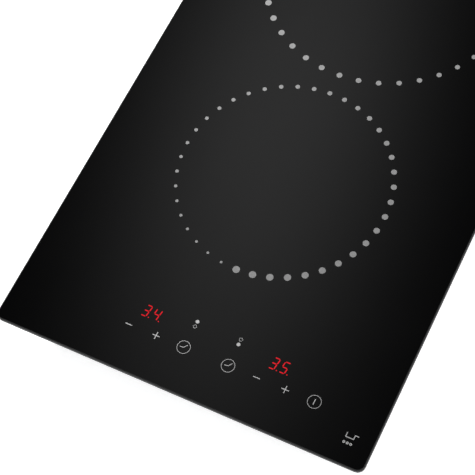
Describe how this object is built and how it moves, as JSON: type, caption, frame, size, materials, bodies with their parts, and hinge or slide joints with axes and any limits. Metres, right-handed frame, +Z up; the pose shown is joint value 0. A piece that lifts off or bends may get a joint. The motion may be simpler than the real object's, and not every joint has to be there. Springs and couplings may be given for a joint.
{
  "type": "induction cooktop",
  "caption": "Built-in induction hob: a black glass plate with dotted cooking zones, touch keys and lit digits over a vented steel housing with coils, power electronics and a fan.",
  "frame": {"origin": "on the worktop's surface, under the centre of the glass", "axes": "+X to the user's right, +Y from the front edge with the keys to the back, +Z up"},
  "size_m": [0.288, 0.52, 0.0589],
  "materials": {
    "black_glass": "polished, dyed through",
    "grey_ink": "fired ceramic print, matt",
    "white_ink": "fired ceramic print, matt",
    "red_light": "lit",
    "seal_foam": "closed-cell foam, matt",
    "adhesive": "satin silicone",
    "zinc_steel": "galvanized sheet, satin",
    "screw_steel": "zinc plated",
    "spring_steel": "satin",
    "black_rubber": "matt",
    "aluminium": "mill finish",
    "board_green": "solder mask",
    "device_black": "moulded",
    "capacitor_red": "moulded",
    "capacitor_yellow": "moulded",
    "copper": "enamelled wire",
    "relay_blue": "moulded",
    "fuse_ceramic": "matt",
    "ferrite": "sintered, matt",
    "terminal_plastic": "moulded",
    "brass": "turned",
    "black_plastic": "moulded, fine grain",
    "fan_plastic": "moulded",
    "white_plastic": "glass-filled",
    "light_pipe": "clear",
    "ribbon_grey": "flat cable",
    "insulation_felt": "pressed fibre",
    "sensor_silicone": "moulded",
    "lead_sleeve": "braided glass sleeve"
  },
  "bodies": {
    "root": {"glass_plate": "black_glass", "symbols_print": "white_ink", "display_digits": "red_light", "edge_seal": "seal_foam", "adhesive_bead": "adhesive", "mounting_frame": "zinc_steel", "base_tray": "zinc_steel", "short_screws": "screw_steel", "cable_inlet_bush": "black_rubber", "coil_carrier": "aluminium", "power_board": "board_green", "heat_sink": "aluminium", "power_transistors": "device_black", "bridge_rectifier": "device_black", "resonance_capacitors": "capacitor_red", "link_capacitors": "capacitor_yellow", "mains_capacitors": "capacitor_yellow", "filter_choke": "copper", "mains_relay": "relay_blue", "mains_fuse": "fuse_ceramic", "supply_transformer": "ferrite", "control_chips": "device_black", "terminal_block": "terminal_plastic", "terminal_screws": "brass", "terminal_cover": "black_plastic", "fan_frame": "black_plastic", "fan_screws": "screw_steel", "control_board": "board_green", "control_bracket": "white_plastic", "touch_springs": "spring_steel", "digit_displays": "device_black", "light_pipes": "light_pipe", "ribbon_connectors": "white_plastic", "ribbon_cable": "ribbon_grey", "clamp_screws": "screw_steel", "front_zone_print": "grey_ink", "rear_zone_print": "grey_ink", "front_coil_springs": "spring_steel", "rear_coil_springs": "spring_steel", "front_coil_leads": "lead_sleeve", "rear_coil_leads": "lead_sleeve", "front_sensor_lead": "lead_sleeve", "rear_sensor_lead": "lead_sleeve"},
    "fan": {"fan_rotor": "fan_plastic"},
    "front_coil": {"front_coil_winding": "copper", "front_coil_former": "white_plastic", "front_ferrite_bars": "ferrite", "front_coil_shield": "aluminium", "front_insulation_sheet": "insulation_felt", "front_heat_sensor": "sensor_silicone"},
    "rear_coil": {"rear_coil_winding": "copper", "rear_coil_former": "white_plastic", "rear_ferrite_bars": "ferrite", "rear_coil_shield": "aluminium", "rear_insulation_sheet": "insulation_felt", "rear_heat_sensor": "sensor_silicone"},
    "front_left_clamp": {"front_left_clamp": "spring_steel"},
    "front_right_clamp": {"front_right_clamp": "spring_steel"},
    "rear_left_clamp": {"rear_left_clamp": "spring_steel"},
    "rear_right_clamp": {"rear_right_clamp": "spring_steel"}
  },
  "joints": [
    {"name": "fan_spin", "type": "hinge", "parent": "root", "child": "fan", "pos_m": [-0.07, 0.185, -0.0366], "axis": [0, 0, 1], "continuous": true},
    {"name": "front_coil_float", "type": "slide", "parent": "root", "child": "front_coil", "axis": [0, 0, 1], "range_m": [-0.0025, 0], "stiffness_N_per_m": 4000, "springref_m": 0.004, "deforming": ["front_coil_springs", "front_coil_leads", "front_sensor_lead"]},
    {"name": "rear_coil_float", "type": "slide", "parent": "root", "child": "rear_coil", "axis": [0, 0, 1], "range_m": [-0.0025, 0], "stiffness_N_per_m": 4000, "springref_m": 0.004, "deforming": ["rear_coil_springs", "rear_coil_leads", "rear_sensor_lead"]},
    {"name": "front_left_swivel", "type": "hinge", "parent": "root", "child": "front_left_clamp", "pos_m": [-0.114, -0.205, -0.05], "axis": [0, 0, 1], "range_deg": [0, 90]},
    {"name": "front_right_swivel", "type": "hinge", "parent": "root", "child": "front_right_clamp", "pos_m": [0.114, -0.205, -0.05], "axis": [0, 0, -1], "range_deg": [0, 90]},
    {"name": "rear_left_swivel", "type": "hinge", "parent": "root", "child": "rear_left_clamp", "pos_m": [-0.114, 0.205, -0.05], "axis": [0, 0, -1], "range_deg": [0, 90]},
    {"name": "rear_right_swivel", "type": "hinge", "parent": "root", "child": "rear_right_clamp", "pos_m": [0.114, 0.205, -0.05], "axis": [0, 0, 1], "range_deg": [0, 90]}
  ]
}
